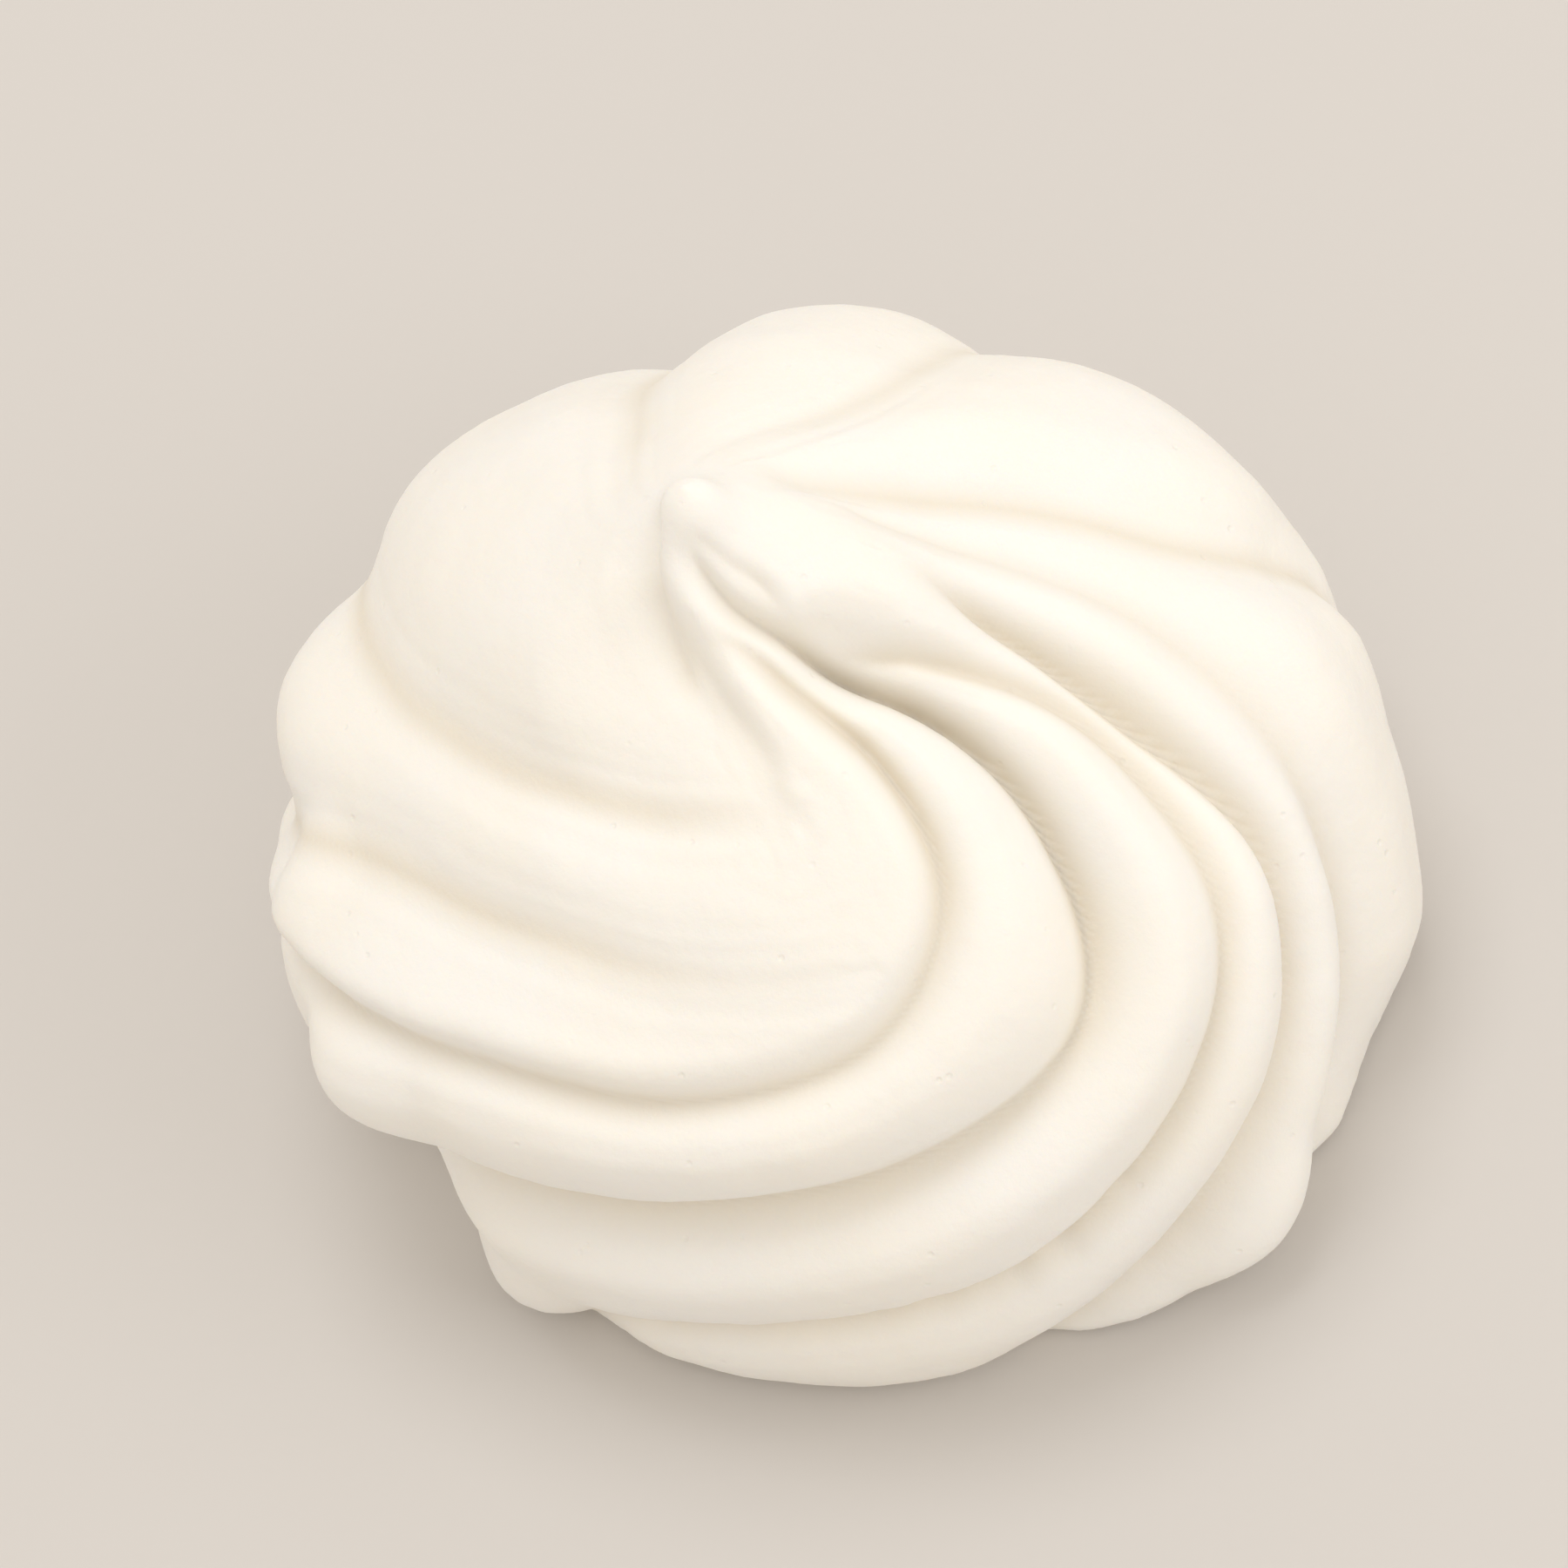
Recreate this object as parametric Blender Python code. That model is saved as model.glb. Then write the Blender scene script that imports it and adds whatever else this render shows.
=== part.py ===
"""One piped meringue cookie: a twisted star of ridges drawn up into a leaning tip, on a flat foot.

Blender 4.5, metres, +Z up. The box of the piece stands centred on the origin, its foot on Z = 0.
Sizes below are millimetres and turns are degrees, counter-clockwise from +X seen from above.
"""
from dataclasses import dataclass
from math import pi, radians

import bmesh
import bpy
import numpy as np

MM = 0.001

# The smooth body under the ridges, from the rim of the foot to the tip: (radius, height).
BODY = (
    (19.2, 0.0),
    (20.4, 0.9),
    (21.2, 3.0),
    (21.7, 7.0),
    (21.6, 12.0),
    (20.2, 17.0),
    (15.6, 21.8),
    (9.6, 25.8),
    (4.6, 28.7),
    (1.9, 30.6),
    (0.8, 32.0),
    (0.0, 32.5),
)
HEIGHT = BODY[-1][1]
LEAN = (0.2, 4.4)             # how far the tip stands off the middle of the foot, along X and Y
LEAN_POWER = 1.5              # the lean grows with the height to this power
OVAL = 0.055                  # the body is this much longer and shorter than round
OVAL_TURN = 145.0             # turn of its long side
FOOT_ROLL = 3.0               # below this height the ridges stop tilting with the body

# The mesh of the outside.
COLUMNS = 96
RINGS = 50
PATH_STEPS = 90               # straight steps along one furrow
RUN_OUT = 1.5                 # how far a furrow runs on below the foot
SLOPE_STEP = 0.2
CURVE_STEPS = 24              # steps between two stations of a smooth curve

# Near the tip the furrows crowd together, so each grows finer with the body's radius.
FULL_DEPTH_RADIUS = 9.0
LEAST_DEPTH = 0.10
LEAST_REACH = 0.3
FALL_OFF = 2.5                # how fast a furrow's slopes ease out into the ridges beside it
SIDE_BLEND = 0.6              # the two reaches change over within this distance of a furrow's line
BLUNT_PER_RADIUS = 0.12
LEAST_BLUNT = 0.02

COLOUR = (0.90, 0.85, 0.76, 1.0)
ROUGHNESS = 0.75


@dataclass(frozen=True)
class Furrow:
    """A furrow between two ridges, laid from the tip down to the foot through (turn, height) stations.

    One whose last station stands above the foot fades out there.
    """

    stations: tuple
    depth: float              # where it starts
    foot_depth: float         # where it ends
    above: float              # reach of the long slope on its upper, inner side
    below: float              # reach of the short wall on its lower, outer side
    blunt: float = 0.3        # rounding of its bottom
    fade: float = 0.08        # share of its length over which it starts
    room_above: float = 0.42  # most its upper slope may reach for each millimetre of the body's radius
    room_below: float = 0.42


@dataclass(frozen=True)
class Hollow:
    """A soft dent in the body, or a swelling where its depth is less than nothing."""

    turn: float
    height: float
    radius: float
    depth: float


FURROWS = (
    # The fold down the left of the tip's neck, and the soft hollow under the broad lobe beside it.
    Furrow(
        ((140, 31.4), (190, 29.9), (222, 28.8), (245, 27.8), (258, 26.6), (257, 25.2)),
        depth=3.2, foot_depth=1.5, above=7.0, below=2.2, fade=0.2, room_above=0.95,
    ),
    Furrow(
        ((262, 25.6), (233, 25.5), (196, 25.0), (164, 23.2), (136, 18.6), (88, 0)),
        depth=1.6, foot_depth=1.8, above=6.5, below=5.5, blunt=1.8, fade=0.2,
    ),
    # A wide, shallow fold along the underside of that lobe's neighbour.
    Furrow(
        ((262, 22.2), (234, 22.2), (205, 21.9), (175, 19.8), (150, 12), (108, 0)),
        depth=1.6, foot_depth=1.5, above=5.5, below=4.6, blunt=1.4, fade=0.35,
    ),
    Furrow(
        (
            (244, 29.2), (272, 28.0), (286, 25.9), (284, 23.6), (266, 20.5),
            (238, 18.9), (205, 17.9), (176, 14.6), (150, 7.5), (125, 0),
        ),
        depth=1.5, foot_depth=1.6, above=2.4, below=2.9, fade=0.12,
    ),
    # A short crease beside the tip, which leaves a small leaf of a ridge above the next one.
    Furrow(
        ((242, 31.2), (264, 30.9), (282, 30.2), (292, 29.6), (290, 28.7)),
        depth=1.0, foot_depth=1.0, above=1.8, below=1.4, blunt=0.2, fade=0.25,
    ),
    # The deepest furrow, across the front, and those after it round to the back.
    Furrow(
        (
            (228, 31.0), (264, 29.5), (291, 28.0), (306, 25.4), (301, 21.8), (288, 17.8),
            (263, 14.8), (234, 12.4), (203, 9.8), (150, 0),
        ),
        depth=2.7, foot_depth=3.0, above=6.2, below=3.1, blunt=0.2,
    ),
    Furrow(
        (
            (298, 28.0), (316, 26.2), (321, 24.0), (315, 20.3), (304, 15.9),
            (290, 12.2), (268, 8.2), (238, 5.8), (219, 3.2), (207, 0),
        ),
        depth=1.6, foot_depth=1.2, above=5.0, below=2.9,
    ),
    Furrow(
        ((338, 27.6), (333, 25.6), (325, 22.2), (317, 15.6), (306, 10.5), (291, 6.2), (272, 1.4), (266, 0)),
        depth=2.3, foot_depth=1.8, above=5.3, below=2.7, blunt=0.2,
    ),
    Furrow(
        ((5, 28.6), (350, 26.2), (341, 22.6), (331, 18.2), (322, 11), (311, 4.6), (300, 0)),
        depth=1.2, foot_depth=2.4, above=5.3, below=3.9, blunt=0.4,
    ),
    Furrow(
        ((30, 29.4), (11, 27.0), (2, 24.4), (355, 20.8), (357, 12), (345, 0)),
        depth=1.7, foot_depth=1.4, above=6.2, below=4.3, blunt=0.9,
    ),
    Furrow(
        ((70, 29.5), (43, 25.6), (44, 18), (34, 8), (12, 0)),
        depth=0.9, foot_depth=1.8, above=6.2, below=4.8, blunt=1.2, fade=0.3,
    ),
    Furrow(
        ((120, 29.8), (96, 26.4), (86, 20), (70, 9), (50, 0)),
        depth=1.2, foot_depth=1.8, above=6.2, below=4.8, blunt=1.0, fade=0.3,
    ),
)
HOLLOWS = (
    Hollow(turn=218, height=27.6, radius=5.0, depth=1.1),
    Hollow(turn=300, height=27.6, radius=3.0, depth=0.9),
    # The far side falls away a little, and one ridge on the right stands out.
    Hollow(turn=98, height=18.0, radius=10.0, depth=0.9),
    Hollow(turn=355, height=12.0, radius=5.0, depth=-0.8),
    # The side and the foot, where the ends of the ridges stand in and out.
    Hollow(turn=171, height=17.6, radius=3.4, depth=-0.8),
    Hollow(turn=190, height=13.2, radius=4.5, depth=-1.3),
    Hollow(turn=146, height=6.0, radius=7.0, depth=-0.8),
    Hollow(turn=167, height=2.4, radius=4.5, depth=-1.3),
    Hollow(turn=186, height=3.0, radius=9.0, depth=2.0),
    Hollow(turn=202, height=1.2, radius=5.0, depth=-1.3),
    Hollow(turn=296, height=3.0, radius=5.0, depth=-1.1),
    Hollow(turn=319, height=2.0, radius=6.0, depth=1.2),
)


def smooth_step(x):
    """Ease from 0 to 1."""
    x = np.clip(x, 0.0, 1.0)
    return x * x * (3.0 - 2.0 * x)


def smooth_curve(stations, count):
    """A curve through the stations, as evenly spaced points."""
    points = np.asarray(stations, float)
    ends = np.vstack([2 * points[0] - points[1], points, 2 * points[-1] - points[-2]])
    dense = []
    for p0, p1, p2, p3 in zip(ends, ends[1:], ends[2:], ends[3:]):
        steps = np.linalg.norm(np.diff([p0, p1, p2, p3], axis=0), axis=1) ** 0.5
        t0, t1, t2, t3 = np.concatenate([[0.0], np.cumsum(steps)])
        t = np.linspace(t1, t2, CURVE_STEPS, endpoint=False)[:, None]
        a1 = ((t1 - t) * p0 + (t - t0) * p1) / (t1 - t0)
        a2 = ((t2 - t) * p1 + (t - t1) * p2) / (t2 - t1)
        a3 = ((t3 - t) * p2 + (t - t2) * p3) / (t3 - t2)
        b1 = ((t2 - t) * a1 + (t - t0) * a2) / (t2 - t0)
        b2 = ((t3 - t) * a2 + (t - t1) * a3) / (t3 - t1)
        dense.append(((t2 - t) * b1 + (t - t1) * b2) / (t2 - t1))
    dense = np.vstack(dense + [points[-1:]])
    walked = np.concatenate([[0.0], np.cumsum(np.linalg.norm(np.diff(dense, axis=0), axis=1))])
    even = np.linspace(0.0, walked[-1], count)
    return np.column_stack([np.interp(even, walked, column) for column in dense.T])


PROFILE = smooth_curve(BODY, 600)


def radius_at(height):
    """Radius of the smooth body at a height."""
    return np.interp(height, PROFILE[:, 1], PROFILE[:, 0])


def on_body(turn, radius, height):
    """A point of the leaning, slightly oval body, from its turn in radians."""
    lean = np.clip(height / HEIGHT, 0.0, 1.0) ** LEAN_POWER
    radius = radius * (1.0 + OVAL * np.cos(2.0 * (turn - radians(OVAL_TURN))))
    along_x = LEAN[0] * lean + radius * np.cos(turn)
    along_y = LEAN[1] * lean + radius * np.sin(turn)
    return np.stack([along_x, along_y, height], axis=-1)


@dataclass(frozen=True)
class FurrowLine:
    """A furrow laid on the body as points, with its shape at each."""

    points: np.ndarray
    outward: np.ndarray       # unit direction straight out of the body
    depth: np.ndarray
    above: np.ndarray
    below: np.ndarray
    blunt: np.ndarray


def lay_furrow(furrow):
    """Carry a furrow's stations onto the body as a smooth line, which runs out just under the foot."""
    stations = np.array(furrow.stations, float)
    last = stations[-1] - stations[-2]
    meets_foot = stations[-1, 1] == 0.0
    if meets_foot:
        stations = np.vstack([stations, stations[-1] + last * RUN_OUT / abs(last[1])])
    turn = np.unwrap(np.radians(stations[:, 0]))
    mean_radius = radius_at(np.clip(stations[:, 1], 0.0, HEIGHT)).mean()
    line = smooth_curve(np.column_stack([turn * mean_radius, stations[:, 1]]), PATH_STEPS + 1)
    turn = line[:, 0] / mean_radius
    height = np.clip(line[:, 1], 0.0, HEIGHT)
    radius = radius_at(height)
    points = on_body(turn, radius, height)
    points[:, 2] = np.where(line[:, 1] < 0.0, line[:, 1], points[:, 2])
    fall = (radius_at(height - SLOPE_STEP) - radius_at(height + SLOPE_STEP)) / (2.0 * SLOPE_STEP)
    outward = np.column_stack([np.cos(turn), np.sin(turn), fall])
    outward /= np.linalg.norm(outward, axis=1)[:, None]
    along = np.linspace(0.0, 1.0, PATH_STEPS + 1)
    depth = furrow.depth + (furrow.foot_depth - furrow.depth) * smooth_step(along)
    depth = depth * smooth_step(along / furrow.fade)
    if not meets_foot:
        depth = depth * smooth_step((1.0 - along) / furrow.fade)
    depth = depth * np.clip(radius / FULL_DEPTH_RADIUS, LEAST_DEPTH, 1.0)
    above = np.minimum(furrow.above, LEAST_REACH + furrow.room_above * radius)
    below = np.minimum(furrow.below, LEAST_REACH + furrow.room_below * radius)
    blunt = np.minimum(furrow.blunt, LEAST_BLUNT + BLUNT_PER_RADIUS * radius)
    return FurrowLine(points, outward, depth, above, below, blunt)


def dip_under(points, line):
    """How deep one furrow cuts under each point of the smooth body."""
    dip = np.zeros(len(points))
    for k in range(PATH_STEPS):
        run = line.points[k + 1] - line.points[k]
        share = np.clip((points - line.points[k]) @ run / (run @ run), 0.0, 1.0)
        off = points - line.points[k] - share[:, None] * run
        away = np.linalg.norm(off, axis=1)
        down = np.cross(line.outward[k], run)
        side = off @ (down / np.linalg.norm(down))
        depth, above, below, blunt = (
            values[k] + (values[k + 1] - values[k]) * share
            for values in (line.depth, line.above, line.below, line.blunt)
        )
        reach = above + (below - above) * smooth_step(0.5 + 0.5 * side / SIDE_BLEND)
        away = np.hypot(away, blunt) - blunt
        dip = np.maximum(dip, depth * np.clip(1.0 - away / reach, 0.0, 1.0) ** FALL_OFF)
    return dip


def dent_under(points, hollow):
    """How deep one hollow dents the smooth body under each point."""
    turn = radians(hollow.turn)
    middle = on_body(turn, radius_at(hollow.height), hollow.height)
    away = np.linalg.norm(points - middle, axis=1)
    return hollow.depth * np.clip(1.0 - (away / hollow.radius) ** 2, 0.0, 1.0) ** 2


def outside(shares, turns):
    """Points of the ridged outside: a row for each share of the profile, a column for each turn."""
    places = np.linspace(0.0, 1.0, len(PROFILE))
    slope = np.gradient(PROFILE, axis=0)
    across = np.zeros(len(turns))
    radius, height, radius_run, height_run = (
        np.interp(shares, places, values)[:, None] + across
        for values in (PROFILE[:, 0], PROFILE[:, 1], slope[:, 0], slope[:, 1])
    )
    turn = turns[None, :] + 0.0 * height
    smooth = on_body(turn, radius, height).reshape(-1, 3)
    length = np.hypot(radius_run, height_run)
    level = height_run / length
    upward = -radius_run / length * smooth_step(height / FOOT_ROLL)
    normal = np.stack([level * np.cos(turn), level * np.sin(turn), upward], axis=-1).reshape(-1, 3)
    dip = sum(dip_under(smooth, lay_furrow(furrow)) for furrow in FURROWS)
    dip = dip + sum(dent_under(smooth, hollow) for hollow in HOLLOWS)
    return (smooth - normal * dip[:, None]).reshape(len(shares), len(turns), 3)


def meringue_rings():
    """The rings of the outside from the foot up, the middles of the cells between them, and the tip."""
    shares = np.linspace(0.0, 1.0, RINGS, endpoint=False)
    turns = np.linspace(0.0, 2.0 * pi, COLUMNS, endpoint=False)
    middles = outside(shares[:-1] + shares[1] / 2.0, turns + turns[1] / 2.0)
    return outside(shares, turns), middles, on_body(0.0, 0.0, HEIGHT)


def meringue_mesh(name):
    """One closed body: the ridged outside, closed at the tip, on its flat foot."""
    rings, middles, tip = meringue_rings()
    centre = (rings.reshape(-1, 3).min(axis=0) + rings.reshape(-1, 3).max(axis=0)) / 2.0
    shift = np.array([centre[0], centre[1], 0.0])
    after = np.roll(rings, -1, axis=1)
    rising = np.linalg.norm((rings[:-1] + after[1:]) / 2.0 - middles, axis=2)
    falling = np.linalg.norm((after[:-1] + rings[1:]) / 2.0 - middles, axis=2)
    bm = bmesh.new()
    rows = [[bm.verts.new((point - shift) * MM) for point in ring] for ring in rings]
    top = bm.verts.new((tip - shift) * MM)
    for j, (lower, upper) in enumerate(zip(rows, rows[1:])):
        for k in range(COLUMNS):
            low, low_after = lower[k], lower[k + 1 - COLUMNS]
            high, high_after = upper[k], upper[k + 1 - COLUMNS]
            # Each cell is split along the diagonal that lies nearer the true surface.
            if rising[j, k] <= falling[j, k]:
                bm.faces.new((low, low_after, high_after))
                bm.faces.new((low, high_after, high))
            else:
                bm.faces.new((low, low_after, high))
                bm.faces.new((low_after, high_after, high))
    for k in range(COLUMNS):
        bm.faces.new((rows[-1][k], rows[-1][k + 1 - COLUMNS], top))
    bm.faces.new(reversed(rows[0]))
    mesh = bpy.data.meshes.new(name)
    bm.to_mesh(mesh)
    bm.free()
    mesh.shade_smooth()
    return mesh


def baked_white():
    """The dry, dull, warm white of baked egg white and sugar."""
    material = bpy.data.materials.new("baked_meringue")
    material.use_nodes = True
    shader = material.node_tree.nodes["Principled BSDF"]
    shader.inputs["Base Color"].default_value = COLOUR
    shader.inputs["Roughness"].default_value = ROUGHNESS
    shader.inputs["Metallic"].default_value = 0.0
    return material


def main():
    """Clear the scene and make the cookie."""
    for old in list(bpy.data.objects):
        bpy.data.objects.remove(old, do_unlink=True)
    mesh = meringue_mesh("meringue")
    mesh.materials.append(baked_white())
    cookie = bpy.data.objects.new("meringue", mesh)
    bpy.context.collection.objects.link(cookie)


main()
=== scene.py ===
"""The looks of one piped meringue cookie: its baked crust at full fineness, a plain studio and the camera.

The cookie's form follows the same named sizes as its solid. Those sizes are millimetres, and turns are
degrees, counter-clockwise from +X seen from above. Meshes, lights and the camera are in metres.
"""

import logging
from dataclasses import dataclass, field
from enum import Enum
from math import cos, pi, radians, sin

import bmesh
import bpy
import numpy as np
from mathutils import Matrix, Vector, noise


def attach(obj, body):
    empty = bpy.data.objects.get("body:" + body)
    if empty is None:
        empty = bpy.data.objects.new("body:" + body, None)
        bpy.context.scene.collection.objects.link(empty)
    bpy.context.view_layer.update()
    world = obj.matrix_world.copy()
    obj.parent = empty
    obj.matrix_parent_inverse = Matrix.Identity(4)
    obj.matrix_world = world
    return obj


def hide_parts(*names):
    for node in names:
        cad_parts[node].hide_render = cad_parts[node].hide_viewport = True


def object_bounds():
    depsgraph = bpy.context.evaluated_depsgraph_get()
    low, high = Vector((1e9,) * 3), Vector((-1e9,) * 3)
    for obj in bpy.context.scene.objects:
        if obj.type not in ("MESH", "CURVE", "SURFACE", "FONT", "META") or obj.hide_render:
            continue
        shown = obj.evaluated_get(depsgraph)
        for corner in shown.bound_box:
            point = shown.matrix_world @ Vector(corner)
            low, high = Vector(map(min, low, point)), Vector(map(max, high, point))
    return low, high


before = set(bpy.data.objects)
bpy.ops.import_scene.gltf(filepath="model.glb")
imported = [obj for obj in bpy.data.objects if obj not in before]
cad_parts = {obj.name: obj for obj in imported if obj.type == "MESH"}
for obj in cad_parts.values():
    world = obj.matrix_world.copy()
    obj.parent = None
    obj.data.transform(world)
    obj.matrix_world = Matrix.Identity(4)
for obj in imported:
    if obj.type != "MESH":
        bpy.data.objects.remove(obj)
CAD_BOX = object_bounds()

NODE = "meringue"
MM = 0.001
FOOT_LATITUDE = pi / 6.0      # how far below its middle the rough ball is cut, as an angle
TOUCH = 1e-4      # points of the rough form nearer than this share of its radius count as together
Colour = tuple[float, float, float, float]
Socket = bpy.types.NodeSocket
log = logging.getLogger("meringue")


class Note(Enum):
    """What is kept at each vertex for the finish to read, each from 0 to 1."""

    # How deep in a crease a vertex lies: it guides the easing of the creases and the shade painted into
    # them.
    CREASE = "crease"
    UNDERSIDE = "underside"


class LampShape(Enum):
    """The shapes of a soft lamp's panel."""

    ROUND = "DISK"
    SQUARE = "SQUARE"


def smooth_step(x: np.ndarray) -> np.ndarray:
    """Ease from 0 to 1."""
    x = np.clip(x, 0.0, 1.0)
    return x * x * (3.0 - 2.0 * x)


def smooth_curve(stations: np.ndarray, count: int, steps: int = 24) -> np.ndarray:
    """Run a smooth curve through stations.

    Args:
        stations: the points to pass through, one to a row.
        count: how many points to return.
        steps: how finely the curve is walked between two stations.

    Returns:
        Evenly spaced points of the curve, one to a row.
    """
    points = np.asarray(stations, float)
    ends = np.vstack([2 * points[0] - points[1], points, 2 * points[-1] - points[-2]])
    dense = []
    for p0, p1, p2, p3 in zip(ends, ends[1:], ends[2:], ends[3:]):
        gaps = np.linalg.norm(np.diff([p0, p1, p2, p3], axis=0), axis=1) ** 0.5
        t0, t1, t2, t3 = np.concatenate([[0.0], np.cumsum(gaps)])
        t = np.linspace(t1, t2, steps, endpoint=False)[:, None]
        a1 = ((t1 - t) * p0 + (t - t0) * p1) / (t1 - t0)
        a2 = ((t2 - t) * p1 + (t - t1) * p2) / (t2 - t1)
        a3 = ((t3 - t) * p2 + (t - t2) * p3) / (t3 - t2)
        b1 = ((t2 - t) * a1 + (t - t0) * a2) / (t2 - t0)
        b2 = ((t3 - t) * a2 + (t - t1) * a3) / (t3 - t1)
        dense.append(((t2 - t) * b1 + (t - t1) * b2) / (t2 - t1))
    dense = np.vstack(dense + [points[-1:]])
    walked = np.concatenate([[0.0], np.cumsum(np.linalg.norm(np.diff(dense, axis=0), axis=1))])
    even = np.linspace(0.0, walked[-1], count)
    return np.column_stack([np.interp(even, walked, column) for column in dense.T])


@dataclass(frozen=True)
class Relief:
    """One layer of soft, uneven relief.

    Its height is in millimetres, its scale is waves to the millimetre, and its seed gives its pattern.
    """

    height: float
    scale: float
    seed: float

    def at(self, points: np.ndarray) -> np.ndarray:
        """How far it stands out at each point, from about minus its height to its height."""
        places = points * self.scale + self.seed
        return self.height * np.array([noise.noise(place) for place in places.tolist()])


@dataclass(frozen=True)
class SmoothBody:
    """The leaning, slightly oval body that the ridges are drawn on."""

    profile: tuple[tuple[float, float], ...] = (
        (19.2, 0.0),
        (20.4, 0.9),
        (21.2, 3.0),
        (21.7, 7.0),
        (21.6, 12.0),
        (20.2, 17.0),
        (15.6, 21.8),
        (9.6, 25.8),
        (4.6, 28.7),
        (1.9, 30.6),
        (0.8, 32.0),
        (0.0, 32.5),
    )
    lean: tuple[float, float] = (0.2, 4.4)
    lean_power: float = 1.5
    oval: float = 0.055
    oval_turn: float = 145.0
    foot_roll: float = 3.0

    @property
    def height(self) -> float:
        """Height of the tip."""
        return self.profile[-1][1]

    def outline(self, count: int = 900) -> np.ndarray:
        """The profile as evenly spaced (radius, height) rows, from the rim of the foot to the tip."""
        return smooth_curve(np.array(self.profile), count)

    def radius_at(self, height: np.ndarray) -> np.ndarray:
        """Radius of the body at a height."""
        rows = self.outline()
        return np.interp(height, rows[:, 1], rows[:, 0])

    def place(self, turn: np.ndarray, radius: np.ndarray, height: np.ndarray) -> np.ndarray:
        """Find points on the body.

        Args:
            turn: the turn round the axis, in radians.
            radius: the distance from the axis.
            height: the height over the foot.

        Returns:
            The points, one to a row.
        """
        lean = np.clip(height / self.height, 0.0, 1.0) ** self.lean_power
        radius = radius * (1.0 + self.oval * np.cos(2.0 * (turn - radians(self.oval_turn))))
        along_x = self.lean[0] * lean + radius * np.cos(turn)
        along_y = self.lean[1] * lean + radius * np.sin(turn)
        return np.stack([along_x, along_y, height], axis=-1)


@dataclass(frozen=True)
class Laid:
    """A furrow carried onto the body as points, with its shape at each."""

    points: np.ndarray
    outward: np.ndarray
    depth: np.ndarray
    above: np.ndarray
    below: np.ndarray
    blunt: np.ndarray
    crack: np.ndarray
    lip: np.ndarray


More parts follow.
